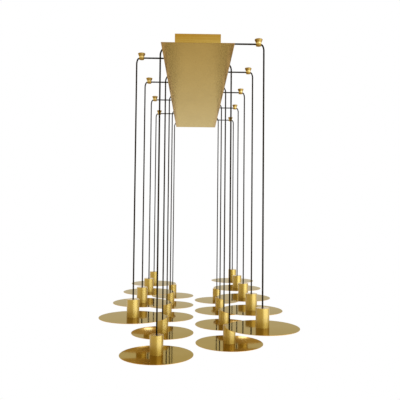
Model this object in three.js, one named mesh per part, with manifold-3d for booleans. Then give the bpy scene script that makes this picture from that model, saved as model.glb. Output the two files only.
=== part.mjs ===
// A ceiling fixture with eighteen brass lamps that hang on cords, in millimetres, +Z up.
// The origin is the middle of the fixture on the ceiling plane. +Y runs along the ceiling box,
// away from the side that is seen first, and +X is to the right when looking along +Y.
import * as THREE from "three";
import { mergeVertices } from "three/addons/utils/BufferGeometryUtils.js";
import Module from "manifold-3d";

const wasm = await Module();
wasm.setup();

// Gap between pieces that touch, slide or pass through one another
const clearance = 0.3;

// Ceiling box: an open-topped tray of folded sheet, with a thin bush round each cord in its walls
const boxWidth = 217;
const boxHeight = 63;
const boxWall = 1.5;
const boxEndMargin = 62.5;
const bushClearance = 0.35;

// Screen plate under the box, wider and longer than the box by the same amount all round
const plateOverhang = 61.5;
const plateThickness = 2;

// Layout of the lamps
const rowCount = 9;
const rowPitch = 233;
const innerCordOutset = 10;
const columnPitch = 140;
const outerDrop = 1382;
const levelStep = 130;

// Lamp: disc, tube, cap and lampholder
const discRadius = 175;
const discThickness = 1.5;
const tubeRadius = 32.5;
const tubeHeight = 92;
const tubeWall = 1.5;
const capThickness = 2;
const holderRadius = 15;
const holderHeight = 25;

// Cord
const cordDiameter = 8;
const leadDrop = 24;
const cordTail = 9;

// Middle line of each bend, as [inboard of the lamp, below the level lead]
const outerBend = [
  [19.7, 0],
  [15.8, 0.46],
  [12.14, 1.83],
  [8.9, 4.01],
  [6.26, 6.9],
  [4.38, 10.32],
  [2.62, 15.26],
  [1.1, 21.35],
  [0.23, 27.57],
  [0, 32.8],
  [0, 60],
];
const innerBend = [
  [70.2, 0],
  [59.9, 0.7],
  [49.8, 2.8],
  [40.1, 6.3],
  [31, 11.1],
  [22.7, 17.1],
  [16.1, 23.2],
  [10.4, 30.1],
  [6.3, 36.5],
  [3.9, 41.4],
  [2.1, 46.4],
  [0.9, 51.6],
  [0.2, 56.9],
  [0, 62.3],
];

// Ceiling hook: a turned spool with a cross-hole in its foot, whose mouth turns down with the cord
const hookSetback = 25.5;
const hookRimRadius = 19;
const hookRimHeight = 5;
const hookWaistRadius = 12.5;
const hookWaistDrop = 17.5;
const hookFootRadius = 13.5;
const hookCollarHeight = 1;
const hookFootDrop = 32;
const hookChamfer = 1;
const hookMouthClearance = 0.8;

// Mounting bars
const barWidth = 25;
const barThickness = 3;
const barFlange = 15;
const barScrewHole = 5.5;
const barScrewSpacing = 120;
const barRows = 3.5;

// Box screws, through the box's side walls into the bars
const screwDiameter = 4;
const screwHeadDiameter = 8;
const screwHeadHeight = 2.2;
const screwHeadBevel = 1.5;
const screwGrip = 8;
const screwDrop = 9;

// Studs on the screen plate, with their nuts
const studDiameter = 6;
const studSpacing = 120;
const studRows = 3;
const nutFlats = 10;
const nutHeight = 5;
const studProud = 2;

// Terminal blocks
const blockLength = 118;
const blockWidth = 24;
const blockHeight = 16;
const blockStep = 4;
const blockShoulder = 9;
const blockRows = 1.5;

// Faces round a full turn
const shadeSides = 28;
const hookSides = 16;
const holeSides = 12;
const cordSides = 8;
const nutSides = 6;

// Sizes that follow
const boxLength = (rowCount - 1) * rowPitch + 2 * boxEndMargin;
const boxInside = boxWidth - 2 * boxWall;
const boxFloor = -boxHeight + boxWall;
const plateWidth = boxWidth + 2 * plateOverhang;
const plateLength = boxLength + 2 * plateOverhang;
const innerLampX = plateWidth / 2 + innerCordOutset;
const outerLampX = innerLampX + columnPitch;
const innerDrop = outerDrop + levelStep;
const hookX = outerLampX - hookSetback;
const cutMargin = 1;

const brass = new THREE.MeshStandardMaterial({ color: 0xb79a5c, roughness: 0.3, metalness: 1 });
const polishedBrass = new THREE.MeshStandardMaterial({ color: 0xc2ab72, roughness: 0.12, metalness: 1 });
const turnedBrass = new THREE.MeshStandardMaterial({ color: 0xb8923c, roughness: 0.25, metalness: 1 });
const blackCord = new THREE.MeshStandardMaterial({ color: 0x24211e, roughness: 0.75, metalness: 0 });
const zincSteel = new THREE.MeshStandardMaterial({ color: 0xa9abac, roughness: 0.4, metalness: 1 });
const whitePlastic = new THREE.MeshStandardMaterial({ color: 0xe6e3da, roughness: 0.5, metalness: 0 });

// A closed geometry as a solid that can be cut and joined
function solidOf(geometry) {
  const plain = geometry.clone();
  plain.deleteAttribute("normal");
  plain.deleteAttribute("uv");
  const merged = mergeVertices(plain, 1e-4);
  const vertProperties = new Float32Array(merged.attributes.position.array);
  const triVerts = new Uint32Array(merged.index.array);
  return new wasm.Manifold(new wasm.Mesh({ numProp: 3, vertProperties, triVerts }));
}

// A solid as a flat-shaded geometry
function geometryOf(solid) {
  const mesh = solid.getMesh();
  const indexed = new THREE.BufferGeometry();
  indexed.setAttribute("position", new THREE.BufferAttribute(mesh.vertProperties, 3));
  indexed.setIndex(new THREE.BufferAttribute(mesh.triVerts, 1));
  const flat = indexed.toNonIndexed();
  flat.computeVertexNormals();
  return flat;
}

// The body with every cutter taken away
function cut(body, cutters) {
  let solid = solidOf(body);
  for (const cutter of cutters) solid = solid.subtract(solidOf(cutter));
  return geometryOf(solid);
}

// A block between two heights, centred on x and y
function block(width, length, low, high) {
  return new THREE.BoxGeometry(width, length, high - low).translate(0, 0, (low + high) / 2);
}

// A round pin along Z between two heights
function pinZ(radius, x, y, low, high) {
  const pin = new THREE.CylinderGeometry(radius, radius, high - low, holeSides);
  return pin.rotateX(Math.PI / 2).translate(x, y, (low + high) / 2);
}

// A round pin along X through the whole width given, centred on x
function pinX(radius, width, y, z) {
  const pin = new THREE.CylinderGeometry(radius, radius, width, holeSides);
  return pin.rotateZ(Math.PI / 2).translate(0, y, z);
}

// A body of revolution about Z, from [radius, height] points
function turned(profile, sides) {
  const points = profile.map(([radius, height]) => new THREE.Vector2(radius, height));
  return new THREE.LatheGeometry(points, sides).rotateX(Math.PI / 2);
}

// An outline in x and z, given depth along Y and centred on it
function extrudedAlongY(outline, depth) {
  const shape = new THREE.Shape(outline.map(([x, z]) => new THREE.Vector2(x, z)));
  const solid = new THREE.ExtrudeGeometry(shape, { depth, bevelEnabled: false });
  return solid.rotateX(Math.PI / 2).translate(0, depth / 2, 0);
}

// A cord's middle line, which bends only at its own points
class Route extends THREE.Curve {
  constructor(points) {
    super();
    this.points = points;
  }

  get steps() {
    return this.points.length - 1;
  }

  getUtoTmapping(u) {
    return u;
  }

  getPoint(t, target = new THREE.Vector3()) {
    const at = Math.min(Math.max(t, 0), 1) * this.steps;
    const index = Math.min(Math.floor(at), this.steps - 1);
    return target.lerpVectors(this.points[index], this.points[index + 1], at - index);
  }

  getTangent(t, target = new THREE.Vector3()) {
    const index = Math.round(t * this.steps);
    target.set(0, 0, 0);
    if (index > 0) target.add(this.direction(index - 1));
    if (index < this.steps) target.add(this.direction(index));
    return target.normalize();
  }

  direction(index) {
    return this.points[index + 1].clone().sub(this.points[index]).normalize();
  }
}

function ceilingBox() {
  const tray = block(boxWidth, boxLength, -boxHeight, 0);
  const hollow = block(boxInside, boxLength - 2 * boxWall, boxFloor, cutMargin);
  const across = boxWidth + 2 * cutMargin;
  const cutters = [hollow];
  for (let row = 1; row <= rowCount; row += 1) {
    cutters.push(pinX(cordDiameter / 2 + bushClearance, across, rowY(row), -leadDrop));
  }
  for (const end of [-1, 1]) {
    cutters.push(pinX(screwDiameter / 2 + clearance, across, end * barRows * rowPitch, -screwDrop));
    for (const side of [-1, 1]) {
      const x = (side * studSpacing) / 2;
      const y = end * studRows * rowPitch;
      const top = boxFloor + cutMargin;
      cutters.push(pinZ(studDiameter / 2 + clearance, x, y, -boxHeight - cutMargin, top));
    }
  }
  return cut(tray, cutters);
}

function screenPlate() {
  let solid = solidOf(block(plateWidth, plateLength, -boxHeight - plateThickness, -boxHeight));
  const middle = -boxHeight - plateThickness / 2;
  const top = boxFloor + nutHeight + studProud;
  for (const end of [-1, 1]) {
    for (const side of [-1, 1]) {
      const x = (side * studSpacing) / 2;
      const y = end * studRows * rowPitch;
      solid = solid.add(solidOf(pinZ(studDiameter / 2, x, y, middle, top)));
    }
  }
  return geometryOf(solid);
}

// A flat bar with both ends folded down inside the box's walls
function mountingBar(withBoxScrews) {
  const half = boxInside / 2 - clearance;
  const bar = extrudedAlongY(
    [
      [-half, 0],
      [-half, -barFlange],
      [barThickness - half, -barFlange],
      [barThickness - half, -barThickness],
      [half - barThickness, -barThickness],
      [half - barThickness, -barFlange],
      [half, -barFlange],
      [half, 0],
    ],
    barWidth,
  );
  const cutters = [];
  for (const side of [-1, 1]) {
    const x = (side * barScrewSpacing) / 2;
    cutters.push(pinZ(barScrewHole / 2, x, 0, -barThickness - cutMargin, cutMargin));
  }
  if (withBoxScrews) cutters.push(pinX(screwDiameter / 2 + clearance, boxWidth, 0, -screwDrop));
  return cut(bar, cutters);
}

// A button-head screw whose head stands at z = 0 and whose shank runs down
function boxScrew() {
  const headRadius = screwHeadDiameter / 2;
  const profile = [
    [0, -screwGrip],
    [screwDiameter / 2, -screwGrip],
    [screwDiameter / 2, 0],
    [headRadius, 0],
    [headRadius, screwHeadHeight - screwHeadBevel],
    [headRadius - screwHeadBevel, screwHeadHeight],
    [0, screwHeadHeight],
  ];
  return turned(profile, holeSides);
}

function plateNut() {
  const outer = nutFlats / 2 / Math.cos(Math.PI / nutSides);
  const hexagon = new THREE.CylinderGeometry(outer, outer, nutHeight, nutSides);
  hexagon.rotateX(Math.PI / 2).translate(0, 0, nutHeight / 2);
  return cut(hexagon, [
    pinZ(studDiameter / 2 + clearance, 0, 0, -cutMargin, nutHeight + cutMargin),
  ]);
}

function terminalBlock() {
  const half = blockWidth / 2;
  return extrudedAlongY(
    [
      [-half, 0],
      [half, 0],
      [half, blockShoulder],
      [half - blockStep, blockShoulder],
      [half - blockStep, blockHeight],
      [blockStep - half, blockHeight],
      [blockStep - half, blockShoulder],
      [-half, blockShoulder],
    ],
    blockLength,
  );
}

// A pin along the first stretch of the outer bend, from where the bend starts out past the foot
function hookMouth() {
  const [start, end] = [outerBend[0], outerBend[2]];
  const slope = Math.atan2(end[1] - start[1], start[0] - end[0]);
  const radius = cordDiameter / 2 + hookMouthClearance;
  const pin = new THREE.CylinderGeometry(radius, radius, hookFootRadius, holeSides);
  pin.rotateZ(Math.PI / 2).translate(hookFootRadius / 2, 0, 0).rotateY(slope);
  return pin.translate(hookSetback - start[0], 0, -leadDrop);
}

// A hook on the right, whose cord leaves towards +X
function ceilingHook() {
  const collarTop = -hookWaistDrop;
  const collarBottom = collarTop - hookCollarHeight;
  const spool = turned(
    [
      [0, -hookFootDrop],
      [hookFootRadius - hookChamfer, -hookFootDrop],
      [hookFootRadius, -hookFootDrop + hookChamfer],
      [hookFootRadius, collarBottom],
      [hookWaistRadius, collarTop],
      [hookRimRadius, -hookRimHeight],
      [hookRimRadius, 0],
      [0, 0],
    ],
    hookSides,
  );
  const across = 2 * (hookFootRadius + cutMargin);
  return cut(spool, [pinX(cordDiameter / 2 + clearance, across, 0, -leadDrop), hookMouth()]);
}

// Disc, tube, cap and lampholder, with the disc's underside at z = 0
function shade() {
  const capTop = discThickness + tubeHeight;
  const capUnderside = capTop - capThickness;
  const bore = tubeRadius - tubeWall;
  return turned(
    [
      [0, capUnderside - holderHeight],
      [holderRadius, capUnderside - holderHeight],
      [holderRadius, capUnderside],
      [bore, capUnderside],
      [bore, 0],
      [discRadius, 0],
      [discRadius, discThickness],
      [tubeRadius, discThickness],
      [tubeRadius, capTop],
      [0, capTop],
    ],
    shadeSides,
  );
}

// A cord from inside the box to the cap of its lamp, in the plane y = 0
function cord(side, bend, lampX, lampDrop) {
  const capTop = discThickness + tubeHeight - lampDrop;
  const route = [
    [boxWidth / 2 - boxWall - cordTail, -leadDrop],
    ...bend.map(([inboard, below]) => [lampX - inboard, -leadDrop - below]),
    [lampX, capTop + clearance],
  ];
  const points = route.map(([x, z]) => new THREE.Vector3(side * x, 0, z));
  const path = new Route(points);
  const section = new THREE.Shape();
  for (let corner = 0; corner < cordSides; corner += 1) {
    const angle = ((corner + 0.5) / cordSides) * 2 * Math.PI;
    const radius = cordDiameter / 2;
    const [x, y] = [radius * Math.cos(angle), radius * Math.sin(angle)];
    if (corner === 0) section.moveTo(x, y);
    else section.lineTo(x, y);
  }
  return new THREE.ExtrudeGeometry(section, { steps: path.steps, extrudePath: path });
}

function rowY(row) {
  return (row - (rowCount + 1) / 2) * rowPitch;
}

const fixture = new THREE.Group();

function addPiece(parent, name, geometry, material, x = 0, y = 0, z = 0) {
  const mesh = new THREE.Mesh(geometry, material);
  mesh.name = name;
  mesh.position.set(x, y, z);
  parent.add(mesh);
  return mesh;
}

addPiece(fixture, "ceiling_box", ceilingBox(), brass);
addPiece(fixture, "screen_plate", screenPlate(), brass);

const ends = [
  ["front", -1],
  ["rear", 1],
];
const sides = [
  ["left", -1],
  ["right", 1],
];

addPiece(fixture, "mounting_bar_middle", mountingBar(false), zincSteel);
for (const [endName, end] of ends) {
  const barY = end * barRows * rowPitch;
  const studY = end * studRows * rowPitch;
  const blockY = end * blockRows * rowPitch;
  addPiece(fixture, "mounting_bar_" + endName, mountingBar(true), zincSteel, 0, barY);
  addPiece(fixture, "terminal_block_" + endName, terminalBlock(), whitePlastic, 0, blockY, boxFloor);
  for (const [sideName, side] of sides) {
    const place = sideName + "_" + endName;
    const screw = boxScrew().rotateY((side * Math.PI) / 2);
    addPiece(fixture, "box_screw_" + place, screw, zincSteel, (side * boxWidth) / 2, barY, -screwDrop);
    addPiece(fixture, "plate_nut_" + place, plateNut(), zincSteel, (side * studSpacing) / 2, studY, boxFloor);
  }
}

// On the left the inner lamps hang in the odd rows, and on the right in the even rows
for (let row = 1; row <= rowCount; row += 1) {
  const rowGroup = new THREE.Group();
  rowGroup.position.y = rowY(row);
  fixture.add(rowGroup);
  for (const [sideName, side] of sides) {
    const place = sideName + "_" + row;
    const isInner = (row % 2 === 1) === (side === -1);
    const lampX = isInner ? innerLampX : outerLampX;
    const lampDrop = isInner ? innerDrop : outerDrop;
    const bend = isInner ? innerBend : outerBend;
    addPiece(rowGroup, "cord_" + place, cord(side, bend, lampX, lampDrop), blackCord);
    addPiece(rowGroup, "shade_" + place, shade(), polishedBrass, side * lampX, 0, -lampDrop);
    if (!isInner) {
      const hook = ceilingHook().rotateZ(side === 1 ? 0 : Math.PI);
      addPiece(rowGroup, "hook_" + place, hook, turnedBrass, side * hookX);
    }
  }
}

export default fixture;
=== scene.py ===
"""Looks of a brass pendant lamp: eighteen disc lamps on black cords under one ceiling fixture.

Lengths are in metres, +Z is up and z = 0 is the ceiling. Places come from the frame.
Corners of outlines are (x or radius, z, rounding).
"""

import math

import bmesh
import bpy
from mathutils import Matrix, Vector


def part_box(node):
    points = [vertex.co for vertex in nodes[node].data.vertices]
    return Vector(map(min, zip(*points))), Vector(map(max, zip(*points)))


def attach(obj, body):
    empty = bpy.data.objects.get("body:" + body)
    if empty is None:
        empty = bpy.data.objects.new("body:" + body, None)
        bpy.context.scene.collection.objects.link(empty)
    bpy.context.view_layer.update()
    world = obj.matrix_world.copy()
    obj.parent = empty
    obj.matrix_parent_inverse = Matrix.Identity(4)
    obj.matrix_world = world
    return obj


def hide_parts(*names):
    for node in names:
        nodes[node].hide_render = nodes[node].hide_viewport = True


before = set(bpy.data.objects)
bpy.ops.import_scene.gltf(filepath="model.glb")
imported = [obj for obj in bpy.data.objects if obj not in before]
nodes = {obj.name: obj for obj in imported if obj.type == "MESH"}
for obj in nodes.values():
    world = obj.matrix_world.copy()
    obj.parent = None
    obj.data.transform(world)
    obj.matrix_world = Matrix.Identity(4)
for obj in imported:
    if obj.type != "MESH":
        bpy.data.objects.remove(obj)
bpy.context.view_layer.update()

# Camera, with its angles in degrees
CAMERA_AT = (-0.0128, -3.3457, -0.8758)
CAMERA_YAW = 0.7393
CAMERA_PITCH = 2.2596
CAMERA_ROLL = 0.5697
CAMERA_LENS = 45.546
CAMERA_SENSOR = 36.0

# Cords, with the middle line of each bend as (inboard of the lamp, below the level lead)
CORD_DIAMETER = 0.008
CORD_SIDES = 16
LEAD_DROP = 0.024
LEAD_START = 0.098
BEND_STEPS = 2
OUTER_BEND = [
    (0.0197, 0), (0.0158, 0.00046), (0.01214, 0.00183), (0.0089, 0.00401),
    (0.00626, 0.0069), (0.00438, 0.01032), (0.00262, 0.01526), (0.0011, 0.02135),
    (0.00023, 0.02757), (0, 0.0328), (0, 0.06),
]
INNER_BEND = [
    (0.0702, 0), (0.0599, 0.0007), (0.0498, 0.0028), (0.0401, 0.0063),
    (0.031, 0.0111), (0.0227, 0.0171), (0.0161, 0.0232), (0.0104, 0.0301),
    (0.0063, 0.0365), (0.0039, 0.0414), (0.0021, 0.0464), (0.0009, 0.0516),
    (0.0002, 0.0569), (0, 0.0623),
]
BRAID_STRANDS = 16.0
BRAID_PITCH = 0.0036

# Ends of the cords inside the box, inwards from the end of each cord
END_SLEEVE = [
    (0, 0.00002, 0), (0.00402, 0.00002, 0), (0.00402, -0.004, 0), (0.0043, -0.004, 0.0001),
    (0.0043, 0.001, 0.0004), (0.0031, 0.0018, 0.0004), (0, 0.0018, 0),
]
CORE = [(0, 0.0013, 0), (0.0011, 0.0013, 0), (0.0011, 0.006, 0), (0, 0.006, 0)]
CORE_OFFSET = 0.0016
FERRULE = [
    (0, 0.0048, 0), (0.0014, 0.0048, 0.0001), (0.0014, 0.0064, 0.0002),
    (0.0009, 0.0069, 0.0001), (0.0009, 0.009, 0.0002), (0, 0.009, 0),
]

# Lamp, upwards from the underside of its disc
DISC_THICKNESS = 0.0015
DISC_EDGE = 0.0004
TUBE_RADIUS = 0.0325
TUBE_BORE = 0.031
TUBE_EDGE = 0.0003
CAP_THICKNESS = 0.002
CAP_SEAM = 0.00012
DIFFUSER_LIFT = 0.0006
DIFFUSER_THICKNESS = 0.002
DIFFUSER_SEAM = 0.0002
DIFFUSER_EDGES = (0.0005, 0.0003)
# Painted glow on the underside of each disc, standing in for lamp light round the tube's mouth: its
# reach, fade and strength
PAINTED_SPILL_RADIUS = 0.08
PAINTED_SPILL_FADE = 2.0
PAINTED_SPILL_STRENGTH = 1.25

# Lampholder and reflector lamp, upwards from their lower ends, and cord grip, from the cap
HOLDER_HEIGHT = 0.025
HOLDER = [
    (0, 0, 0), (0.014, 0, 0.001), (0.014, 0.01, 0.0004), (0.0125, 0.0108, 0.0004),
    (0.0125, 0.0134, 0.0004), (0.015, 0.0142, 0.0006), (0.015, HOLDER_HEIGHT, 0.0004),
    (0, HOLDER_HEIGHT, 0),
]
LAMP_RADIUS = 0.025
LAMP_LENGTH = 0.053
LAMP_BODY = [
    (0.0228, 0.0012, 0), (0.0238, 0, 0.0004), (LAMP_RADIUS, 0.0006, 0.0004),
    (LAMP_RADIUS, 0.0042, 0.0006), (0.0234, 0.0055, 0.0005), (0.0215, 0.014, 0.008),
    (0.0135, 0.03, 0.006), (0.012, 0.036, 0.001), (0.0132, 0.0375, 0.0006),
    (0.0132, LAMP_LENGTH, 0.0008), (0, LAMP_LENGTH, 0), (0, 0.003, 0), (0.0228, 0.003, 0),
]
GLASS_RADIUS = 0.0227
GLASS_LOW = 0.0002
GLASS_SAG = 0.0012
GLASS_TOP = 0.0028
GRIP = [(0.004, 0, 0), (0.006, 0, 0), (0.0057, 0.0009, 0.0005), (0.004, 0.0009, 0)]

# Ceiling hook, with its cove as a curve from the waist to the rim
HOOK_WAIST_DROP = 0.02
# Distances from the waist over which the hook goes from its painted highlight to its painted dark
# reflection
HOOK_PAINTED_REFLECTION = (0.001, 0.006)
HOOK_FOOT = [(0, -0.032, 0), (0.0135, -0.032, 0.0016), (0.0135, -0.0214, 0.0005), (0.0125, -0.0206, 0)]
HOOK_COVE = [(0.0125, -HOOK_WAIST_DROP), (0.0137, -0.0142), (0.0182, -0.0048)]
HOOK_RIM = [(0.0186, -0.0042, 0), (0.019, -0.0038, 0), (0.019, 0, 0.0004), (0, 0, 0)]
HOOK_SETBACK = 0.0255
HOOK_HOLE_RADIUS = 0.0043
HOOK_HOLE_REACH = 0.02
HOOK_MOUTH_RADIUS = 0.0048
HOOK_MOUTH_REACH = 0.0135

# Bush in the wall of the ceiling box, outwards from the wall's outside
BUSH = [
    (0.00408, -0.003, 0), (0.00425, -0.003, 0.0001), (0.0051, -0.0015, 0.0001),
    (0.00425, -0.0015, 0), (0.00425, 0, 0), (0.0067, 0, 0), (0.0063, 0.0012, 0.0005),
    (0.00408, 0.0012, 0),
]

# Box screws, with the seat of the head at z = 0
SCREW_HEAD_HEIGHT = 0.0022
SCREW_HEAD = [
    (0, 0, 0), (0.004, 0, 0.0001), (0.004, 0.0006, 0.0006), (0.0026, SCREW_HEAD_HEIGHT, 0.0012),
    (0, SCREW_HEAD_HEIGHT, 0),
]
SCREW_SOCKET = 0.0025
SCREW_SOCKET_DEPTH = 0.0013
SCREW_RADIUS = 0.002
SCREW_LENGTH = 0.008
SCREW_PITCH = 0.0007
SCREW_THREAD_DEPTH = 0.0003
SCREW_OVERLAP = 0.0001

# Plate nuts and the threads of their studs
STUD_RADIUS = 0.0031
STUD_PITCH = 0.001
STUD_THREAD_DEPTH = 0.0002
STUD_PROUD = 0.0002
NUT_FLATS = 0.01
NUT_HEIGHT = 0.005
NUT_FACE = 0.0047
NUT_CHAMFER = 0.0008
NUT_BORE = 0.0032

# Terminal strips, upwards from their feet
STRIP_POLES = 12
STRIP_GROOVE = 0.0007
STRIP_GROOVE_FLOOR = 0.0032
STRIP_SHOULDER = 0.009
STRIP_STEP = 0.004
STRIP_WELL_X = 0.004
STRIP_WELL_RADIUS = 0.0021
STRIP_WIRE_HEIGHT = 0.005
STRIP_WIRE_RADIUS = 0.0023
STRIP_WIRE_DEPTH = 0.007
STRIP_RECESS = 0.0015
TERMINAL_HEAD_RADIUS = 0.0018
TERMINAL_HEAD_HEIGHT = 0.0015
TERMINAL_SLOT = 0.0006
TERMINAL_SLOT_DEPTH = 0.0008
TERMINAL_SLOT_LENGTH = 0.01
TERMINAL_TURN = 2.4
INSERT_RADIUS = 0.00225
INSERT_BORE = 0.0016
INSERT_LENGTH = 0.005
INSERT_EDGE = 0.0001

# Sheet metal of the frame: edges of folded sheet and bars, and of the plate
SHEET_EDGE = 0.0004
PLATE_EDGE = 0.0003
PLATE_RIM = 0.03
PLATE_RIM_END = 0.004
# Heights over which the box turns to its painted shade towards the ceiling
BOX_PAINTED_SHADE = (-0.058, -0.008)

# Stage and light, with each panel as (name, width, height, radiance against a white surface)
FLOOR_DROP = 3.6
FLOOR_HALF = 4.2
FLOOR_COLOR = (0.83, 0.815, 0.775, 1)
FLOOR_ROUGHNESS = 0.9
FLOOR_GLOW = 0.7
WORLD_LIGHT = 0.7
WORLD_SHOWN = 1.0
WHITE = (1, 1, 1, 1)
KEY_AT = (4.1, -4.3, -1.4)
KEY_TARGET = (0, -0.9, -1.4)
KEY_COLOR = (0.85, 1.13, 2.25)
KEY_PANELS = [
    ("key_wide", 9.0, 5.0, 1.1),
    ("key_middle", 5.6, 4.7, 2.6),
    ("key_core", 3.2, 4.4, 4.6),
]

# Meshes and shading
ARC_STEPS = 4
CURVE_STEPS = 8
GUARD = 0.15
ROUND_SEGMENTS = 64
DISC_SEGMENTS = 128
SMALL_SEGMENTS = 24
THREAD_STEPS = 8
CUT_BEYOND = 0.001
AXIS = 1e-7
STRAIGHT = 1e-3
WELD_GAP = 1e-6
FLAT_FACE = 0.95
FLAT_ANGLE = math.radians(1)
BEVEL_ANGLE = math.radians(35)
SHARP_ANGLE = math.radians(32)
ALONG_X = Matrix.Rotation(math.pi / 2, 4, "Y")
COAT_IOR = 1.45
FINE_GRAIN = 0.0000008
BRUSHED_GRAIN = 0.000001
SMUDGE_SCALE = 22


def named(start):
    """The names of the CAD nodes that begin so."""
    return [name for name in nodes if name.startswith(start)]


lamps = sorted(name[len("shade_"):] for name in named("shade_"))
hooks = sorted(name[len("hook_"):] for name in named("hook_"))


def srgb(red, green, blue):
    """A screen colour, 0 to 255, as the linear colour that a shader takes."""
    def linear(value):
        share = value / 255
        if share <= 0.04045:
            return share / 12.92
        return ((share + 0.055) / 1.055) ** 2.4
    return (linear(red), linear(green), linear(blue), 1.0)


# Meshes

def mesh_of(shape, name):
    """The bmesh as a mesh, smooth but for its sharp edges."""
    bmesh.ops.recalc_face_normals(shape, faces=shape.faces)
    for face in shape.faces:
        face.smooth = True
    for edge in shape.edges:
        edge.smooth = edge.calc_face_angle(0) < SHARP_ANGLE
    mesh = bpy.data.meshes.new(name)
    shape.to_mesh(mesh)
    shape.free()
    return mesh


def rounded(corners, lift=0):
    """The closed outline of the corners, lifted, with an arc at each corner that has a rounding.

    A guard point before and after each arc keeps the shading of the flat faces beside it flat.
    """
    corners = [(x, z + lift, radius) for x, z, radius in corners]
    outline = []
    for index, (x, z, radius) in enumerate(corners):
        if radius == 0:
            outline.append((x, z))
            continue
        corner = Vector((x, z))
        before = (Vector(corners[index - 1][:2]) - corner).normalized()
        after = (Vector(corners[(index + 1) % len(corners)][:2]) - corner).normalized()
        half = before.angle(after) / 2
        centre = corner + (before + after).normalized() * radius / math.sin(half)
        reach = radius / math.tan(half)
        start = corner + before * reach - centre
        end = corner + after * reach - centre
        sweep = start.angle(end)
        outline.append(tuple(corner + before * reach * (1 + GUARD)))
        for step in range(ARC_STEPS + 1):
            turn = sweep * step / ARC_STEPS
            spoke = start * math.sin(sweep - turn) + end * math.sin(turn)
            outline.append(tuple(centre + spoke / math.sin(sweep)))
        outline.append(tuple(corner + after * reach * (1 + GUARD)))
    return outline


def circle(shape, radius, height, segments):
    """A ring of vertices about Z."""
    angles = [2 * math.pi * step / segments for step in range(segments)]
    return [shape.verts.new((radius * math.cos(angle), radius * math.sin(angle), height))
            for angle in angles]


def capped(shape, rings):
    """Faces over the first and the last ring."""
    shape.faces.new(rings[0])
    shape.faces.new(rings[-1])


def lathe(name, profile, segments, closed=False):
    """A body of revolution about Z. A closed profile also joins its last point to its first."""
    shape = bmesh.new()
    rings = []
    for radius, height in profile:
        if radius < AXIS:
            rings.append([shape.verts.new((0, 0, height))])
        else:
            rings.append(circle(shape, radius, height, segments))
    followers = rings[1:] + (rings[:1] if closed else [])
    for lower, upper in zip(rings, followers):
        for step in range(segments):
            after = (step + 1) % segments
            corners = [lower[step % len(lower)], lower[after % len(lower)]]
            corners += [upper[after % len(upper)], upper[step % len(upper)]]
            face = list(dict.fromkeys(corners))
            if len(face) > 2:
                shape.faces.new(face)
    return mesh_of(shape, name)


def swept(name, line, radius, sides, side_axis=(0, 1, 0)):
    """A closed round tube along a line, with its uv as (share of the way round, metres along)."""
    shape = bmesh.new()
    uv = shape.loops.layers.uv.new("around_along")
    points = [Vector(point) for point in line]
    across = Vector(side_axis)
    rings = []
    travelled = [0.0]
    for index, point in enumerate(points):
        ahead = points[min(index + 1, len(points) - 1)] - point
        behind = point - points[max(index - 1, 0)]
        tangent = (ahead.normalized() + behind.normalized()).normalized()
        across = (across - tangent * across.dot(tangent)).normalized()
        other = tangent.cross(across)
        ring = []
        for step in range(sides):
            angle = 2 * math.pi * step / sides
            spoke = across * math.cos(angle) + other * math.sin(angle)
            ring.append(shape.verts.new(point + spoke * radius))
        rings.append(ring)
        travelled.append(travelled[-1] + ahead.length)
    for index, (near, far) in enumerate(zip(rings, rings[1:])):
        start, end = travelled[index:index + 2]
        for step in range(sides):
            after = (step + 1) % sides
            face = shape.faces.new((near[step], near[after], far[after], far[step]))
            shares = (step / sides, (step + 1) / sides, (step + 1) / sides, step / sides)
            for loop, share, length in zip(face.loops, shares, (start, start, end, end)):
                loop[uv].uv = (share, length)
    capped(shape, rings)
    return mesh_of(shape, name)


def smoothed(points, steps):
    """A line through the points, each short chord of a bend cut into steps along a curve."""
    points = [Vector(point) for point in points]
    chords = [after - before for before, after in zip(points, points[1:])]
    tangents = []
    for index in range(len(points)):
        before = chords[max(index - 1, 0)]
        after = chords[min(index, len(chords) - 1)]
        longer, shorter = sorted((before, after), key=lambda chord: chord.length, reverse=True)
        if longer.length > 2 * shorter.length:
            tangents.append(longer.normalized())
        else:
            tangents.append((before.normalized() + after.normalized()).normalized())
    line = [points[0]]
    for index, chord in enumerate(chords):
        turned = chord.angle(tangents[index]) + chord.angle(tangents[index + 1])
        count = 1 if turned < STRAIGHT else steps
        for step in range(1, count + 1):
            t = step / count
            start = points[index] * (2 * t ** 3 - 3 * t ** 2 + 1)
            end = points[index + 1] * (3 * t ** 2 - 2 * t ** 3)
            leave = tangents[index] * chord.length * (t ** 3 - 2 * t ** 2 + t)
            arrive = tangents[index + 1] * chord.length * (t ** 3 - t ** 2)
            line.append(start + leave + end + arrive)
    return line


def threaded(name, radius, depth, pitch, low, high, segments):
    """A round rod from low to high with a helical thread, and a chamfer at each end."""
    shape = bmesh.new()
    rings = []
    count = math.ceil((high - low) / pitch * THREAD_STEPS)
    for index in range(count + 1):
        height = low + (high - low) * index / count
        chamfer = max(depth - (height - low), depth - (high - height), 0)
        ring = []
        for step in range(segments):
            turn = (height / pitch - step / segments) % 1
            reach = radius - max(depth * abs(2 * turn - 1), chamfer)
            angle = 2 * math.pi * step / segments
            ring.append(shape.verts.new((reach * math.cos(angle), reach * math.sin(angle), height)))
        rings.append(ring)
    for lower, upper in zip(rings, rings[1:]):
        for step in range(segments):
            after = (step + 1) % segments
            shape.faces.new((lower[step], lower[after], upper[after], upper[step]))
    capped(shape, rings)
    return mesh_of(shape, name)


def extruded(name, outline, length):
    """A body with the (x, z) outline and the given length along Y, centred on it."""
    shape = bmesh.new()
    ends = [[shape.verts.new((x, y, z)) for x, z in outline] for y in (-length / 2, length / 2)]
    capped(shape, ends)
    for index in range(len(outline)):
        after = (index + 1) % len(outline)
        shape.faces.new((ends[0][index], ends[0][after], ends[1][after], ends[1][index]))
    return mesh_of(shape, name)


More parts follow.
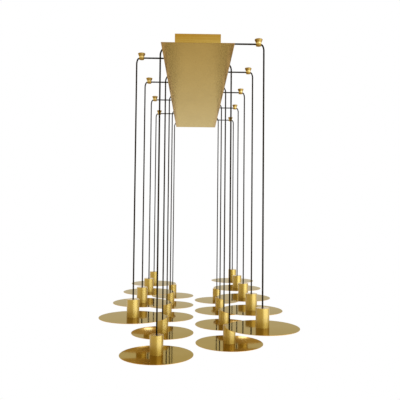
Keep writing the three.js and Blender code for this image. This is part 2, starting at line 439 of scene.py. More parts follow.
def repeated(name, mesh, places):
    """One mesh that holds a copy of the mesh at each place, a matrix."""
    shape = bmesh.new()
    for place in places:
        start = len(shape.verts)
        shape.from_mesh(mesh)
        shape.verts.ensure_lookup_table()
        bmesh.ops.transform(shape, matrix=place, verts=shape.verts[start:])
    return mesh_of(shape, name)


def linked(name, data):
    """A new object in the scene."""
    made = bpy.data.objects.new(name, data)
    bpy.context.scene.collection.objects.link(made)
    return made


def cut(mesh, cutters):
    """The mesh with the cutter meshes taken out of it."""
    body = linked("body", mesh)
    tools = [linked("tool", cutter) for cutter in cutters]
    for tool in tools:
        boolean = body.modifiers.new("cut", "BOOLEAN")
        boolean.operation = "DIFFERENCE"
        boolean.solver = "EXACT"
        boolean.object = tool
    graph = bpy.context.evaluated_depsgraph_get()
    result = bmesh.new()
    result.from_mesh(bpy.data.meshes.new_from_object(body.evaluated_get(graph)))
    for unused in [body, *tools]:
        bpy.data.objects.remove(unused)
    return mesh_of(result, mesh.name + "_cut")


def drum(radius, low, high, segments, turn=None):
    """A plain round cutter between two heights, turned by a matrix if one is given."""
    mesh = lathe("cutter", [(0, low), (radius, low), (radius, high), (0, high)], segments)
    if turn is not None:
        mesh.transform(turn)
    return mesh


def hexagon_corner(flats):
    """The radius of a hexagon's corners, from its width across flats."""
    return flats / 2 / math.cos(math.pi / 6)


def outwards(side):
    """The turn of +Z to the right, for side 1, or to the left, for side -1."""
    return ALONG_X if side > 0 else ALONG_X.inverted()


def piece(name, mesh, material, body, at=(0, 0, 0), replaces=()):
    """A piece of the scene that rides on a body."""
    made = linked(name, mesh)
    made.location = at
    if not made.data.materials:
        made.data.materials.append(material)
    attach(made, body)
    if replaces:
        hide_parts(*replaces)
    return made


# Procedural materials

class Recipe:
    """A material: a plain colour on its principled shader, and the nodes that feed the shader."""

    def __init__(self, name, color, metallic, roughness):
        self.material = bpy.data.materials.new(name)
        self.material.use_nodes = True
        self.tree = self.material.node_tree
        self.shader = self.tree.nodes["Principled BSDF"]
        self.shader.inputs["Base Color"].default_value = color
        self.shader.inputs["Metallic"].default_value = metallic
        self.shader.inputs["Roughness"].default_value = roughness

    def set(self, **values):
        """Sets plain values of the shader, each named by its socket with _ for a space."""
        for name, value in values.items():
            self.shader.inputs[name.replace("_", " ")].default_value = value

    def node(self, kind, inputs=(), **settings):
        """A node with its settings. Each input is a plain value or the output of a node."""
        made = self.tree.nodes.new(kind)
        for name, value in settings.items():
            setattr(made, name, value)
        for key, value in dict(inputs).items():
            if isinstance(value, bpy.types.NodeSocket):
                self.tree.links.new(value, made.inputs[key])
            else:
                made.inputs[key].default_value = value
        return made

    def math(self, operation, first, second=0.0, third=0.0):
        values = {0: first, 1: second, 2: third}
        return self.node("ShaderNodeMath", values, operation=operation).outputs[0]

    def feed(self, socket, output):
        self.tree.links.new(output, self.shader.inputs[socket])

    def place(self):
        """Coordinates on the object itself, in metres."""
        return self.node("ShaderNodeTexCoord").outputs["Object"]

    def along(self, axis):
        """One of these coordinates: 0 is X, 1 is Y and 2 is Z."""
        return self.node("ShaderNodeSeparateXYZ", {0: self.place()}).outputs[axis]

    def from_axis(self):
        """The distance from the object's own Z axis, in metres."""
        values = {0: self.place(), 1: (1, 1, 0)}
        away = self.node("ShaderNodeVectorMath", values, operation="MULTIPLY").outputs[0]
        return self.node("ShaderNodeVectorMath", {0: away}, operation="LENGTH").outputs["Value"]

    def noise(self, scale, detail):
        """Noise from 0 to 1, with one scale or one for each axis, in cells a metre."""
        if not isinstance(scale, tuple):
            scale = (scale, scale, scale)
        stretched = self.node("ShaderNodeMapping", {"Vector": self.place(), "Scale": scale})
        values = {"Vector": stretched.outputs[0], "Scale": 1.0, "Detail": detail, "Roughness": 0.6}
        return self.node("ShaderNodeTexNoise", values).outputs[0]

    def between(self, value, low, high, from_low=0.3, from_high=0.7):
        """The value, spread from its own range over low to high."""
        values = {0: value, 1: from_low, 2: from_high, 3: low, 4: high}
        return self.node("ShaderNodeMapRange", values).outputs[0]

    def mixed(self, share, first, second):
        """A colour between two colours."""
        return self.node("ShaderNodeMix", {0: share, 6: first, 7: second}, data_type="RGBA").outputs[2]

    def drift(self, light, dark, scale=7):
        """A colour that drifts between two colours, over noise of the scale."""
        return self.mixed(self.between(self.noise(scale, 4.0), 0, 1), light, dark)

    def bump(self, height, distance):
        bump = self.node("ShaderNodeBump", {"Height": height, "Distance": distance})
        self.feed("Normal", bump.outputs[0])


def brass(name, color, edge, roughness, spread, grain, grain_depth, coat=0.0):
    """Brass with grain lines of the given scale and depth, and its colour and that of its edge."""
    recipe = Recipe(name, color, metallic=1.0, roughness=roughness)
    recipe.set(Specular_Tint=edge, Coat_Weight=coat, Coat_Roughness=roughness, Coat_IOR=COAT_IOR)
    lines = recipe.noise(grain, 2.0)
    smudges = recipe.between(recipe.noise(SMUDGE_SCALE, 5.0), roughness - spread, roughness + spread)
    fine = recipe.between(lines, -spread / 2, spread / 2)
    recipe.feed("Roughness", recipe.math("ADD", smudges, fine))
    if grain_depth > 0:
        recipe.bump(lines, grain_depth)
    return recipe


def tube_brass():
    """Satin turned tube: even, with grain lines round it too fine to see from a step away."""
    light, dark = srgb(181, 145, 44), srgb(173, 137, 38)
    recipe = brass("satin_brass_tube", light, srgb(250, 240, 205), roughness=0.38, spread=0.015,
                   grain=(60, 60, 2600), grain_depth=FINE_GRAIN, coat=1.0)
    recipe.set(Coat_Roughness=0.25)
    recipe.feed("Base Color", recipe.drift(light, dark))
    return recipe.material


def disc_brass():
    """Mirror-polished sheet: clear reflections, with faint smudges in its gloss."""
    recipe = Recipe("polished_brass_disc", srgb(170, 146, 92), metallic=1.0, roughness=0.04)
    recipe.set(Specular_Tint=srgb(221, 212, 181))
    recipe.feed("Base Color", recipe.drift(srgb(171, 146, 92), srgb(162, 136, 80), 5))
    recipe.feed("Roughness", recipe.between(recipe.noise(14, 5.0), 0.045, 0.085))
    return recipe.material


def underside_brass_painted_glow():
    """The satin underside of a disc, painted lighter than its polished top as painted light from
    below, with a painted glow round the tube's mouth that stands in for lamp light spilling onto it.
    """
    # Colours painted lighter than the disc's top, as painted light from below
    light, dark = srgb(236, 204, 132), srgb(226, 192, 116)
    recipe = brass("satin_brass_underside", light, srgb(250, 240, 215), roughness=0.36, spread=0.04,
                   grain=240, grain_depth=FINE_GRAIN)
    recipe.feed("Base Color", recipe.drift(light, dark))
    # Emission round the mouth: a painted glow of lamp light, though the disc is no lamp
    painted_spill = recipe.between(recipe.from_axis(), 1, 0, TUBE_RADIUS, PAINTED_SPILL_RADIUS)
    glow = recipe.math("MULTIPLY", recipe.math("POWER", painted_spill, PAINTED_SPILL_FADE), PAINTED_SPILL_STRENGTH)
    recipe.feed("Emission Strength", glow)
    recipe.set(Emission_Color=srgb(255, 238, 196))
    return recipe.material


def edge_brass():
    """The cut edge of a disc, a redder line than its faces."""
    light, dark = srgb(216, 160, 62), srgb(204, 146, 50)
    recipe = brass("brass_edge", light, srgb(250, 232, 180), roughness=0.3, spread=0.03,
                   grain=300, grain_depth=FINE_GRAIN, coat=0.3)
    recipe.feed("Base Color", recipe.drift(light, dark))
    return recipe.material


def plate_brass_painted_reflection():
    """Softly polished sheet with an orange line along its edges, painted darker near the front and
    paler towards the rear as a painted reflection of the room.
    """
    light, dark = srgb(159, 121, 47), srgb(152, 114, 39)
    recipe = brass("brass_plate", light, srgb(248, 237, 196), roughness=0.23, spread=0.01,
                   grain=(40, 4, 40), grain_depth=0)
    recipe.set(Metallic=0.8)
    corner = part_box("screen_plate")[1]
    # Painted reflection: the front end is painted darker and the rear end paler
    front = recipe.drift(light, dark, (7, 3, 7))
    rear = recipe.drift(srgb(179, 149, 68), srgb(172, 142, 60), (7, 3, 7))
    tone = recipe.mixed(recipe.between(recipe.along(1), 0, 1, -corner.y, corner.y), front, rear)
    edge = recipe.between(recipe.math("ABSOLUTE", recipe.along(0)), 0, 0.8,
                          corner.x - PLATE_RIM, corner.x - PLATE_RIM_END)
    recipe.feed("Base Color", recipe.mixed(edge, tone, srgb(158, 108, 44)))
    return recipe.material


def box_brass():
    """Brushed sheet with streaks along the folded walls, painted darker and redder towards the ceiling
    as painted shade.
    """
    high, low = srgb(170, 127, 39), srgb(186, 154, 69)
    recipe = brass("satin_brass_box", high, srgb(240, 220, 160), roughness=0.3, spread=0.05,
                   grain=(8, 8, 900), grain_depth=BRUSHED_GRAIN, coat=0.2)
    # Painted shade: darker and redder towards the ceiling
    level = recipe.between(recipe.along(2), 0, 1, *BOX_PAINTED_SHADE)
    streaks = recipe.between(recipe.noise((3, 3, 150), 3.0), -0.4, 0.4)
    recipe.feed("Base Color", recipe.mixed(recipe.math("ADD", level, streaks), low, high))
    return recipe.material


def hook_brass():
    """Turned brass, painted darker round its rim and foot as a painted reflection, and lightest at the
    waist as a painted highlight.
    """
    painted_waist_highlight, painted_dark_reflection = srgb(226, 195, 108), srgb(153, 116, 42)
    recipe = brass("turned_brass", painted_waist_highlight, srgb(230, 205, 140), roughness=0.4, spread=0.04,
                   grain=(60, 60, 4200), grain_depth=FINE_GRAIN, coat=0.2)
    # Painted highlight at the waist, painted dark reflection at the rim and foot, with random stains
    above_waist = recipe.math("SUBTRACT", recipe.along(2), -HOOK_WAIST_DROP)
    painted_reflection_share = recipe.between(recipe.math("ABSOLUTE", above_waist), 0, 1, *HOOK_PAINTED_REFLECTION)
    stain = recipe.between(recipe.noise(90, 3.0), -0.2, 0.2)
    share = recipe.math("ADD", painted_reflection_share, stain)
    recipe.feed("Base Color", recipe.mixed(share, painted_waist_highlight, painted_dark_reflection))
    return recipe.material


def braided_cord():
    """Black textile braid: two sets of strands that cross, from the tube's own uv, with painted shade
    in the gaps between the strands.
    """
    recipe = Recipe("black_braid", srgb(30, 21, 5), metallic=0.0, roughness=0.85)
    recipe.set(Specular_IOR_Level=0.02)
    uv = recipe.node("ShaderNodeUVMap", uv_map="around_along").outputs[0]
    parts = recipe.node("ShaderNodeSeparateXYZ", {0: uv})
    round_share = recipe.math("MULTIPLY", parts.outputs[0], BRAID_STRANDS)
    along_share = recipe.math("DIVIDE", parts.outputs[1], BRAID_PITCH)
    waves = []
    for operation in ("ADD", "SUBTRACT"):
        turns = recipe.math(operation, round_share, along_share)
        waves.append(recipe.math("SINE", recipe.math("MULTIPLY", turns, 2 * math.pi)))
    weave = recipe.math("MULTIPLY", waves[0], waves[1])
    fuzz = recipe.noise(900, 2.0)
    height = recipe.math("MULTIPLY_ADD", weave, 0.5, fuzz)
    # Painted shade: darker in the gaps between strands and lighter on their tops, with random fuzz
    shade = recipe.between(height, 0, 1, -0.1, 1.1)
    recipe.feed("Base Color", recipe.mixed(shade, srgb(22, 15, 3), srgb(38, 27, 7)))
    recipe.feed("Roughness", recipe.between(fuzz, 0.78, 0.92))
    recipe.bump(height, 0.00002)
    return recipe.material


def black_plastic():
    """Moulded plastic with a fine even grain."""
    recipe = Recipe("black_plastic", srgb(34, 33, 32), metallic=0.0, roughness=0.42)
    grain = recipe.noise(2400, 2.0)
    recipe.feed("Roughness", recipe.between(grain, 0.36, 0.5))
    recipe.feed("Base Color", recipe.mixed(grain, srgb(30, 29, 28), srgb(42, 40, 38)))
    recipe.bump(grain, 0.00001)
    return recipe.material


def white_plastic():
    """Moulded plastic, faintly yellowed in places."""
    recipe = Recipe("white_plastic", srgb(228, 224, 212), metallic=0.0, roughness=0.45)
    recipe.set(Subsurface_Weight=0.05)
    grain = recipe.noise(1500, 2.0)
    tone = recipe.mixed(recipe.noise(30, 3.0), srgb(232, 228, 217), srgb(220, 214, 198))
    recipe.feed("Base Color", tone)
    recipe.feed("Roughness", recipe.between(grain, 0.4, 0.52))
    recipe.bump(grain, 0.000012)
    return recipe.material


def ceramic():
    """Glazed ceramic, a little uneven."""
    recipe = Recipe("glazed_ceramic", srgb(226, 220, 206), metallic=0.0, roughness=0.22)
    recipe.set(Coat_Weight=0.6, Coat_Roughness=0.1)
    drift = recipe.noise(90, 4.0)
    recipe.feed("Base Color", recipe.mixed(drift, srgb(232, 227, 214), srgb(214, 206, 190)))
    recipe.feed("Roughness", recipe.between(drift, 0.18, 0.3))
    recipe.bump(drift, 0.00004)
    return recipe.material


def zinc_steel():
    """Zinc plating: pale, faintly blue and yellow, with fine rolling marks."""
    recipe = Recipe("zinc_steel", srgb(176, 178, 180), metallic=1.0, roughness=0.36)
    recipe.feed("Base Color", recipe.drift(srgb(186, 187, 190), srgb(166, 164, 152), 160))
    lines = recipe.noise((40, 1200, 1200), 2.0)
    recipe.feed("Roughness", recipe.between(lines, 0.3, 0.44))
    recipe.bump(lines, 0.00001)
    return recipe.material


def lamp_reflector():
    """Metallised glass, with the faint facets of a reflector lamp."""
    recipe = Recipe("lamp_reflector", srgb(205, 206, 208), metallic=1.0, roughness=0.18)
    values = {"Vector": recipe.place(), "Scale": 260.0}
    cells = recipe.node("ShaderNodeTexVoronoi", values).outputs["Distance"]
    recipe.feed("Roughness", recipe.between(cells, 0.12, 0.26, 0.1, 0.6))
    recipe.feed("Base Color", recipe.mixed(cells, srgb(214, 214, 215), srgb(190, 191, 194)))
    recipe.bump(cells, 0.00015)
    return recipe.material


def lit(name, outside, inside, strength, start, end):
    """Frosted glass that glows from its middle, at the radius start, out to the radius end."""
    recipe = Recipe(name, inside, metallic=0.0, roughness=0.4)
    middle = recipe.between(recipe.from_axis(), 1, 0, start, end)
    frost = recipe.noise(1400, 2.0)
    recipe.feed("Emission Color", recipe.mixed(middle, outside, inside))
    recipe.set(Emission_Strength=strength)
    recipe.feed("Roughness", recipe.between(frost, 0.3, 0.5))
    recipe.bump(frost, 0.00003)
    return recipe.material


def lit_glass():
    """The frosted front of a lit lamp, brightest in the middle."""
    return lit("lit_glass", srgb(255, 226, 160), srgb(255, 246, 214),
               strength=6.0, start=0.006, end=LAMP_RADIUS)


def opal_diffuser():
    """Opal acrylic that closes the tube, lit from behind all over."""
    return lit("opal_diffuser", srgb(244, 242, 238), srgb(234, 241, 255),
               strength=3.8, start=0.008, end=TUBE_RADIUS)


MATERIALS = {
    "tube": tube_brass(),
    "disc": disc_brass(),
    "underside": underside_brass_painted_glow(),
    "edge": edge_brass(),
    "plate": plate_brass_painted_reflection(),
    "box": box_brass(),
    "hook": hook_brass(),
    "cord": braided_cord(),
    "black_plastic": black_plastic(),
    "white_plastic": white_plastic(),
    "ceramic": ceramic(),
    "zinc": zinc_steel(),
    "reflector": lamp_reflector(),
    "glass": lit_glass(),
    "diffuser": opal_diffuser(),
}


# Camera

def make_camera():
    data = bpy.data.cameras.new("camera")
    data.lens = CAMERA_LENS
    data.sensor_width = CAMERA_SENSOR
    camera = linked("camera", data)
    heading = Matrix.Rotation(-math.radians(CAMERA_YAW), 4, "Z")
    tilt = Matrix.Rotation(math.radians(90 + CAMERA_PITCH), 4, "X")
    roll = Matrix.Rotation(math.radians(CAMERA_ROLL), 4, "Z")
    camera.matrix_world = Matrix.Translation(CAMERA_AT) @ heading @ tilt @ roll
    bpy.context.scene.camera = camera


# Cords

def lamp_centre(place):
    """The middle of a lamp's underside."""
    low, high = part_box("shade_" + place)
    return Vector(((low.x + high.x) / 2, (low.y + high.y) / 2, low.z))


def is_inner(place):
    return "hook_" + place not in nodes


def make_cord(place):
    """A cord with its stripped end, from inside the box to the lamp."""
    centre = lamp_centre(place)
    side = math.copysign(1, centre.x)
    reach = abs(centre.x)
    bend = INNER_BEND if is_inner(place) else OUTER_BEND
    route = [(LEAD_START, 0)]
    route += [(reach - inboard, below) for inboard, below in bend]
    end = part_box("cord_" + place)[0].z
    route.append((reach, -LEAD_DROP - end))
    points = [(side * x, centre.y, -LEAD_DROP - below) for x, below in route]
    line = smoothed(points, BEND_STEPS)
    mesh = swept("cord_" + place, line, CORD_DIAMETER / 2, CORD_SIDES)
    cord = piece("cord_line_" + place, mesh, MATERIALS["cord"], "pendant_" + place,
                 replaces=["cord_" + place])
    for name, end_mesh, material, slot in CORD_END_PARTS[side]:
        piece(name + "_" + place, end_mesh, MATERIALS[material], "pendant_" + place,
                          points[0])


def cord_end_parts(turn):
    """The sleeve, the two cores and their ferrules, along +Z before the turn."""
    sleeve = lathe("cord_end_sleeve", rounded(END_SLEEVE), SMALL_SEGMENTS)
    core = lathe("core", rounded(CORE), SMALL_SEGMENTS // 2)
    ferrule = lathe("ferrule", rounded(FERRULE), SMALL_SEGMENTS // 2)
    turns = [turn @ Matrix.Translation((0, offset, 0)) for offset in (-CORE_OFFSET, CORE_OFFSET)]
    return [
        ("cord_end_sleeve", repeated("sleeve", sleeve, [turn]), "black_plastic", "black_plastic"),
        ("cord_core_black", repeated("core_black", core, turns[:1]), "black_plastic", "black_plastic"),
        ("cord_core_white", repeated("core_white", core, turns[1:]), "white_plastic", "white_plastic"),
        ("cord_ferrules", repeated("ferrules", ferrule, turns), "zinc", "zinc_steel"),
    ]


CORD_END_PARTS = {side: cord_end_parts(outwards(-side)) for side in (1, -1)}


# Lamps

def disc_mesh(radius):
    profile = rounded([
        (TUBE_BORE, 0, TUBE_EDGE),
        (radius, 0, DISC_EDGE),
        (radius, DISC_THICKNESS, DISC_EDGE),
        (TUBE_BORE, DISC_THICKNESS, 0),
    ])
    mesh = lathe("disc", profile, DISC_SEGMENTS, closed=True)
    for name in ("disc", "underside", "edge"):
        mesh.materials.append(MATERIALS[name])
    for face in mesh.polygons:
        if face.normal.z < -FLAT_FACE:
            face.material_index = 1
        elif face.normal.z < FLAT_FACE:
            face.material_index = 2
    return mesh


def tube_mesh(top):
    profile = rounded([
        (TUBE_BORE, DISC_THICKNESS, 0),
        (TUBE_RADIUS, DISC_THICKNESS, TUBE_EDGE),
        (TUBE_RADIUS, top, TUBE_EDGE),
        (TUBE_BORE, top, TUBE_EDGE),
    ])
    return lathe("tube", profile, ROUND_SEGMENTS, closed=True)


def cap_mesh(top):
    """A flat cap inside the tube's top, with a hole for the cord."""
    radius = TUBE_BORE - CAP_SEAM
    hole = CORD_DIAMETER / 2 + CAP_SEAM
    profile = rounded([
        (hole, top - CAP_THICKNESS, 0),
        (radius, top - CAP_THICKNESS, 0),
        (radius, top, TUBE_EDGE),
        (hole, top, 0),
    ])
    return lathe("cap", profile, ROUND_SEGMENTS, closed=True)


def holder_mesh(top):
    """Ceramic lampholder: a flanged body with a groove, hung under the cap."""
    profile = rounded(HOLDER, top - CAP_THICKNESS - HOLDER_HEIGHT)
    return lathe("lampholder", profile, ROUND_SEGMENTS // 2)


def lamp_foot(top):
    """The height of a reflector lamp's lower end."""
    return top - CAP_THICKNESS - HOLDER_HEIGHT - LAMP_LENGTH


def lamp_body_mesh(top):
    """Reflector lamp: ribbed base, neck and cone, with a rim that the glass sits in."""
    return lathe("lamp_body", rounded(LAMP_BODY, lamp_foot(top)), ROUND_SEGMENTS // 2)


def lamp_glass_mesh(top):
    """The lamp's front, which bulges down in the middle."""
    low = lamp_foot(top)
    profile = []
    for step in range(CURVE_STEPS + 1):
        share = step / CURVE_STEPS
        profile.append((GLASS_RADIUS * share, low + GLASS_LOW + GLASS_SAG * share ** 2))
    profile += [(GLASS_RADIUS, low + GLASS_TOP), (0, low + GLASS_TOP)]
    return lathe("lamp_glass", profile, ROUND_SEGMENTS // 2)


def diffuser_mesh():
    """A shallow opal dish, pressed into the mouth of the tube."""
    radius = TUBE_BORE - DIFFUSER_SEAM
    top = DIFFUSER_LIFT + DIFFUSER_THICKNESS
    profile = rounded([
        (0, DIFFUSER_LIFT, 0),
        (radius, DIFFUSER_LIFT, DIFFUSER_EDGES[0]),
        (radius, top, DIFFUSER_EDGES[1]),
        (0, top, 0),
    ])
    return lathe("diffuser", profile, ROUND_SEGMENTS)


def make_lamps():
    low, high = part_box("shade_" + lamps[0])
    top = high.z - low.z
    radius = (high.x - low.x) / 2
    grip = lathe("cord_grip", rounded(GRIP, top), SMALL_SEGMENTS, closed=True)
    parts = [
        ("disc", disc_mesh(radius), "disc", "polished_brass", True),
        ("tube", tube_mesh(top), "tube", "polished_brass", True),
        ("cap", cap_mesh(top), "tube", "polished_brass", True),
        ("lampholder", holder_mesh(top), "ceramic", "ceramic", True),
        ("lamp_body", lamp_body_mesh(top), "reflector", "lamp_body", False),
        ("lamp_glass", lamp_glass_mesh(top), "glass", "lamp_glass", False),
        ("diffuser", diffuser_mesh(), "diffuser", "lamp_glass", False),
        ("cord_grip", grip, "black_plastic", "black_plastic", False),
    ]
    for place in lamps:
        for name, mesh, material, slot, stands_for_shade in parts:
            replaced = ["shade_" + place] if stands_for_shade else []
            piece(name + "_" + place, mesh, MATERIALS[material], "pendant_" + place,
                  lamp_centre(place), replaced)


# Ceiling hooks

def hook_mesh(side):
    """Turned spool: a straight rim, a hollow cone, a slight waist, and a foot whose cross-hole
    turns down with the cord on the outer side."""
    waist, pull, rim = [Vector(point) for point in HOOK_COVE]
    profile = rounded(HOOK_FOOT)
    for step in range(CURVE_STEPS + 1):
        t = step / CURVE_STEPS
        profile.append(tuple(waist * (1 - t) ** 2 + pull * 2 * t * (1 - t) + rim * t ** 2))
    profile += rounded(HOOK_RIM)
    spool = lathe("ceiling_hook", profile, ROUND_SEGMENTS)
    lift = Matrix.Translation((0, 0, -LEAD_DROP))
    hole = drum(HOOK_HOLE_RADIUS, -HOOK_HOLE_REACH, HOOK_HOLE_REACH, SMALL_SEGMENTS, lift @ ALONG_X)
    (start, _), (end, fall) = OUTER_BEND[0], OUTER_BEND[2]
    slope = Matrix.Rotation(side * (math.pi / 2 + math.atan2(fall, start - end)), 4, "Y")
    at = Matrix.Translation((side * (HOOK_SETBACK - start), 0, -LEAD_DROP))
    mouth = drum(HOOK_MOUTH_RADIUS, 0, HOOK_MOUTH_REACH, SMALL_SEGMENTS, at @ slope)
    return cut(spool, [hole, mouth])


def make_hooks():
    meshes = {side: hook_mesh(side) for side in (-1, 1)}
    for place in hooks:
        low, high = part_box("hook_" + place)
        centre = Vector(((low.x + high.x) / 2, (low.y + high.y) / 2, high.z))
        mesh = meshes[math.copysign(1, centre.x)]
        piece("ceiling_hook_" + place, mesh, MATERIALS["hook"], "ceiling_fixture",
              centre, ["hook_" + place])


# Ceiling box and what it holds

def softened(name, material, width):
    """Gives a CAD node its own material and finely rounded edges."""
    made = nodes[name]
    made.data.materials.clear()
    made.data.materials.append(material)
    weld = made.modifiers.new("weld", "WELD")
    weld.merge_threshold = WELD_GAP
    flat = made.modifiers.new("flat_faces", "DECIMATE")
    flat.decimate_type = "DISSOLVE"
    flat.angle_limit = FLAT_ANGLE
    bevel = made.modifiers.new("edges", "BEVEL")
    bevel.width = width
    bevel.segments = 2
    bevel.limit_method = "ANGLE"
    bevel.angle_limit = BEVEL_ANGLE
    bevel.harden_normals = True


def make_fixture():
    softened("ceiling_box", MATERIALS["box"], SHEET_EDGE)
    softened("screen_plate", MATERIALS["plate"], PLATE_EDGE)
    for name in named("mounting_bar_"):
        softened(name, MATERIALS["zinc"], SHEET_EDGE)


def foot_of(name):
    """The middle of a node's underside."""
    low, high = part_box(name)
    return ((low.x + high.x) / 2, (low.y + high.y) / 2, low.z)


def make_box_screws():
    """Button-head screws with a hexagon socket, their heads against the box's walls."""
    head = lathe("screw_head", rounded(SCREW_HEAD), ROUND_SEGMENTS // 2)
    socket = drum(hexagon_corner(SCREW_SOCKET), SCREW_HEAD_HEIGHT - SCREW_SOCKET_DEPTH,
                  SCREW_HEAD_HEIGHT + CUT_BEYOND, 6)
    head = cut(head, [socket])
    shank = threaded("screw_shank", SCREW_RADIUS, SCREW_THREAD_DEPTH, SCREW_PITCH,
                     -SCREW_LENGTH, SCREW_OVERLAP, SMALL_SEGMENTS)
    for name in named("box_screw_"):
        low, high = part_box(name)
        side = math.copysign(1, low.x)
        seat = (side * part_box("ceiling_box")[1].x, (low.y + high.y) / 2, (low.z + high.z) / 2)
        for kind, mesh in (("screw_head", head), ("screw_shank", shank)):
            turned = repeated(kind, mesh, [outwards(side)])
            piece(kind + name[len("box_screw"):], turned, MATERIALS["zinc"], "ceiling_fixture",
                  seat, [name])


def make_plate_nuts():
    """Hexagon nuts with chamfered corners, and the threads of the studs that stand out of them."""
    corner = hexagon_corner(NUT_FLATS)
    rings = []
    for low, high, start in (
            (NUT_HEIGHT - NUT_CHAMFER, NUT_HEIGHT + CUT_BEYOND, NUT_HEIGHT),
            (NUT_CHAMFER, -CUT_BEYOND, 0)):
        beyond = corner + CUT_BEYOND
        profile = [(NUT_FACE, start), (beyond, low), (beyond, high), (NUT_FACE, high)]
        rings.append(lathe("ring", profile, ROUND_SEGMENTS, closed=True))
    hexagon = drum(corner, 0, NUT_HEIGHT, 6, Matrix.Rotation(math.pi / 2, 4, "Z"))
    bore = drum(NUT_BORE, -CUT_BEYOND, NUT_HEIGHT + CUT_BEYOND, SMALL_SEGMENTS)
    nut = cut(hexagon, [*rings, bore])
    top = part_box("screen_plate")[1].z + STUD_PROUD
    for name in named("plate_nut_"):
        foot = foot_of(name)
        place = name[len("plate_nut"):]
        thread = threaded("stud_thread", STUD_RADIUS, STUD_THREAD_DEPTH, STUD_PITCH,
                          0, top - foot[2], ROUND_SEGMENTS // 2)
        piece("hexagon_nut" + place, nut, MATERIALS["zinc"], "ceiling_fixture",
              foot, [name])
        piece("stud_thread" + place, thread, MATERIALS["zinc"], "ceiling_fixture",
              foot)


def strip_poles(size):
    """The place of each pole's foot on the strip, once for each side of it."""
    pitch = size.y / STRIP_POLES
    places = [Matrix.Translation((0, pitch * (index + 0.5) - size.y / 2, 0))
              for index in range(STRIP_POLES)]
    return [(place, side) for place in places for side in (-1, 1)]


def well_place(at, side):
    """The middle of a pole's screw well."""
    return at @ Matrix.Translation((side * STRIP_WELL_X, 0, 0))


def wire_place(at, side):
    """The middle of a pole, at the height of its wire hole, with +X turned out through the hole."""
    turn = Matrix.Rotation(0 if side > 0 else math.pi, 4, "Z")
    return at @ Matrix.Translation((0, 0, STRIP_WIRE_HEIGHT)) @ turn


def strip_mesh(size):
    """A moulded strip: a shoulder with wire holes on each side of a ridge of screw wells."""
    half, top, step = size.x / 2, size.z, STRIP_STEP
    body = extruded("terminal_strip", rounded([
        (-half, 0, 0.0003),
        (half, 0, 0.0003),
        (half, STRIP_SHOULDER, 0.001),
        (half - step, STRIP_SHOULDER, 0.0006),
        (half - step, top, 0.0008),
        (step - half, top, 0.0008),
        (step - half, STRIP_SHOULDER, 0.0006),
        (-half, STRIP_SHOULDER, 0.001),
    ]), size.y)
    floor = STRIP_GROOVE_FLOOR
    outline = [(-size.x, floor), (size.x, floor), (size.x, 2 * top), (-size.x, 2 * top)]
    groove = extruded("groove", outline, STRIP_GROOVE)
    pitch = size.y / STRIP_POLES
    grooves = [Matrix.Translation((0, pitch * index - size.y / 2, 0))
               for index in range(1, STRIP_POLES)]
    well = drum(STRIP_WELL_RADIUS, STRIP_SHOULDER, 2 * top, SMALL_SEGMENTS)
    hole = drum(STRIP_WIRE_RADIUS, half - STRIP_WIRE_DEPTH, size.x, SMALL_SEGMENTS, ALONG_X)
    poles = strip_poles(size)
    return cut(body, [
        repeated("grooves", groove, grooves),
        repeated("wells", well, [well_place(*pole) for pole in poles]),
        repeated("holes", hole, [wire_place(*pole) for pole in poles]),
    ])


def terminal_screw_mesh(top):
    """The slotted head of a terminal screw, with its top at the given height."""
    head = drum(TERMINAL_HEAD_RADIUS, top - TERMINAL_HEAD_HEIGHT, top, SMALL_SEGMENTS)
    half, floor, beyond = TERMINAL_SLOT / 2, top - TERMINAL_SLOT_DEPTH, top + CUT_BEYOND
    outline = [(-half, floor), (half, floor), (half, beyond), (-half, beyond)]
    return cut(head, [extruded("slot", outline, TERMINAL_SLOT_LENGTH)])


def insert_mesh(outside):
    """The brass insert of a wire hole, along +X, with its mouth at the given distance."""
    insert = lathe("insert", rounded([
        (INSERT_BORE, outside - INSERT_LENGTH, 0),
        (INSERT_RADIUS, outside - INSERT_LENGTH, 0),
        (INSERT_RADIUS, outside, INSERT_EDGE),
        (INSERT_BORE, outside, INSERT_EDGE),
    ]), SMALL_SEGMENTS, closed=True)
    insert.transform(ALONG_X)
    return insert


def make_terminal_strips():
    low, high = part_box("terminal_block_front")
    size = high - low
    poles = strip_poles(size)
    turned = [well_place(*pole) @ Matrix.Rotation(index * TERMINAL_TURN, 4, "Z")
              for index, pole in enumerate(poles)]
    strip = strip_mesh(size)
    screws = repeated("terminal_screws", terminal_screw_mesh(size.z - STRIP_RECESS), turned)
    inserts = repeated("terminal_inserts", insert_mesh(size.x / 2 - STRIP_RECESS),
                       [wire_place(*pole) for pole in poles])
    for end in ("front", "rear"):
        name = "terminal_block_" + end
        foot = foot_of(name)
        piece("terminal_strip_" + end, strip, MATERIALS["white_plastic"], "ceiling_fixture",
              foot, [name])
        piece("terminal_screws_" + end, screws, MATERIALS["zinc"], "ceiling_fixture",
              foot)
        piece("terminal_inserts_" + end, inserts, MATERIALS["tube"], "ceiling_fixture",
              foot)


def make_bushes():
    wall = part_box("ceiling_box")[1].x
    for side in (1, -1):
        mesh = lathe("cord_bush", rounded(BUSH), SMALL_SEGMENTS, closed=True)
        mesh.transform(outwards(side))
        for place in lamps:
            centre = lamp_centre(place)
            if centre.x * side > 0:
                piece("cord_bush_" + place, mesh, MATERIALS["black_plastic"], "ceiling_fixture",
                      (side * wall, centre.y, -LEAD_DROP))


# Stage, light and background

def rays_that_show_the_background(tree):
    """1 for camera, glossy and transmission rays, and 0 for the others."""
    path = tree.nodes.new("ShaderNodeLightPath")
    share = path.outputs["Is Camera Ray"]
    for name in ("Is Glossy Ray", "Is Transmission Ray"):
        most = tree.nodes.new("ShaderNodeMath")
        most.operation = "MAXIMUM"
        tree.links.new(share, most.inputs[0])
        tree.links.new(path.outputs[name], most.inputs[1])
        share = most.outputs[0]
    return share


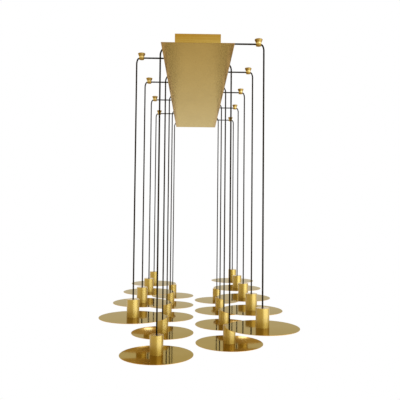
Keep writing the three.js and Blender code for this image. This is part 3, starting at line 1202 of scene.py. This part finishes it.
def mix_shaders(tree, share, first, second, output):
    """Joins two shader nodes by the share of the second, and shows them at the output node."""
    mix = tree.nodes.new("ShaderNodeMixShader")
    tree.links.new(share, mix.inputs[0])
    tree.links.new(first.outputs[0], mix.inputs[1])
    tree.links.new(second.outputs[0], mix.inputs[2])
    tree.links.new(mix.outputs[0], tree.nodes[output].inputs[0])


def make_floor():
    """A pale floor that catches shadows and shines white to the camera and in mirrors."""
    shape = bmesh.new()
    corners = [(-1, -1), (1, -1), (1, 1), (-1, 1)]
    shape.faces.new([shape.verts.new((x * FLOOR_HALF, y * FLOOR_HALF, -FLOOR_DROP))
                     for x, y in corners])
    mesh = mesh_of(shape, "floor")
    material = bpy.data.materials.new("pale_floor")
    material.use_nodes = True
    tree = material.node_tree
    shader = tree.nodes["Principled BSDF"]
    shader.inputs["Base Color"].default_value = FLOOR_COLOR
    shader.inputs["Roughness"].default_value = FLOOR_ROUGHNESS
    glow = tree.nodes.new("ShaderNodeEmission")
    share = tree.nodes.new("ShaderNodeMath")
    share.operation = "MULTIPLY"
    share.inputs[1].default_value = FLOOR_GLOW
    tree.links.new(rays_that_show_the_background(tree), share.inputs[0])
    mix_shaders(tree, share.outputs[0], shader, glow, "Material Output")
    mesh.materials.append(material)
    linked("floor", mesh)


def make_key_light():
    """Three nested soft panels, so that the light fades out towards its sides."""
    for name, width, height, radiance in KEY_PANELS:
        data = bpy.data.lights.new(name, "AREA")
        data.shape = "RECTANGLE"
        data.size = width
        data.size_y = height
        data.energy = radiance * math.pi * width * height
        data.color = KEY_COLOR
        light = linked(name, data)
        light.location = KEY_AT
        light.rotation_mode = "QUATERNION"
        light.rotation_quaternion = (Vector(KEY_TARGET) - Vector(KEY_AT)).to_track_quat("-Z", "Y")


def make_world():
    """Soft light from all round, with a white background."""
    world = bpy.data.worlds.new("studio")
    world.use_nodes = True
    bpy.context.scene.world = world
    tree = world.node_tree
    fill, shown = tree.nodes["Background"], tree.nodes.new("ShaderNodeBackground")
    for background, strength in ((fill, WORLD_LIGHT), (shown, WORLD_SHOWN)):
        background.inputs["Color"].default_value = WHITE
        background.inputs["Strength"].default_value = strength
    mix_shaders(tree, rays_that_show_the_background(tree), fill, shown, "World Output")


make_camera()
for lamp in lamps:
    make_cord(lamp)
make_lamps()
make_hooks()
make_fixture()
make_box_screws()
make_plate_nuts()
make_terminal_strips()
make_bushes()
make_floor()
make_key_light()
make_world()

bpy.context.scene.view_settings.view_transform = "Standard"
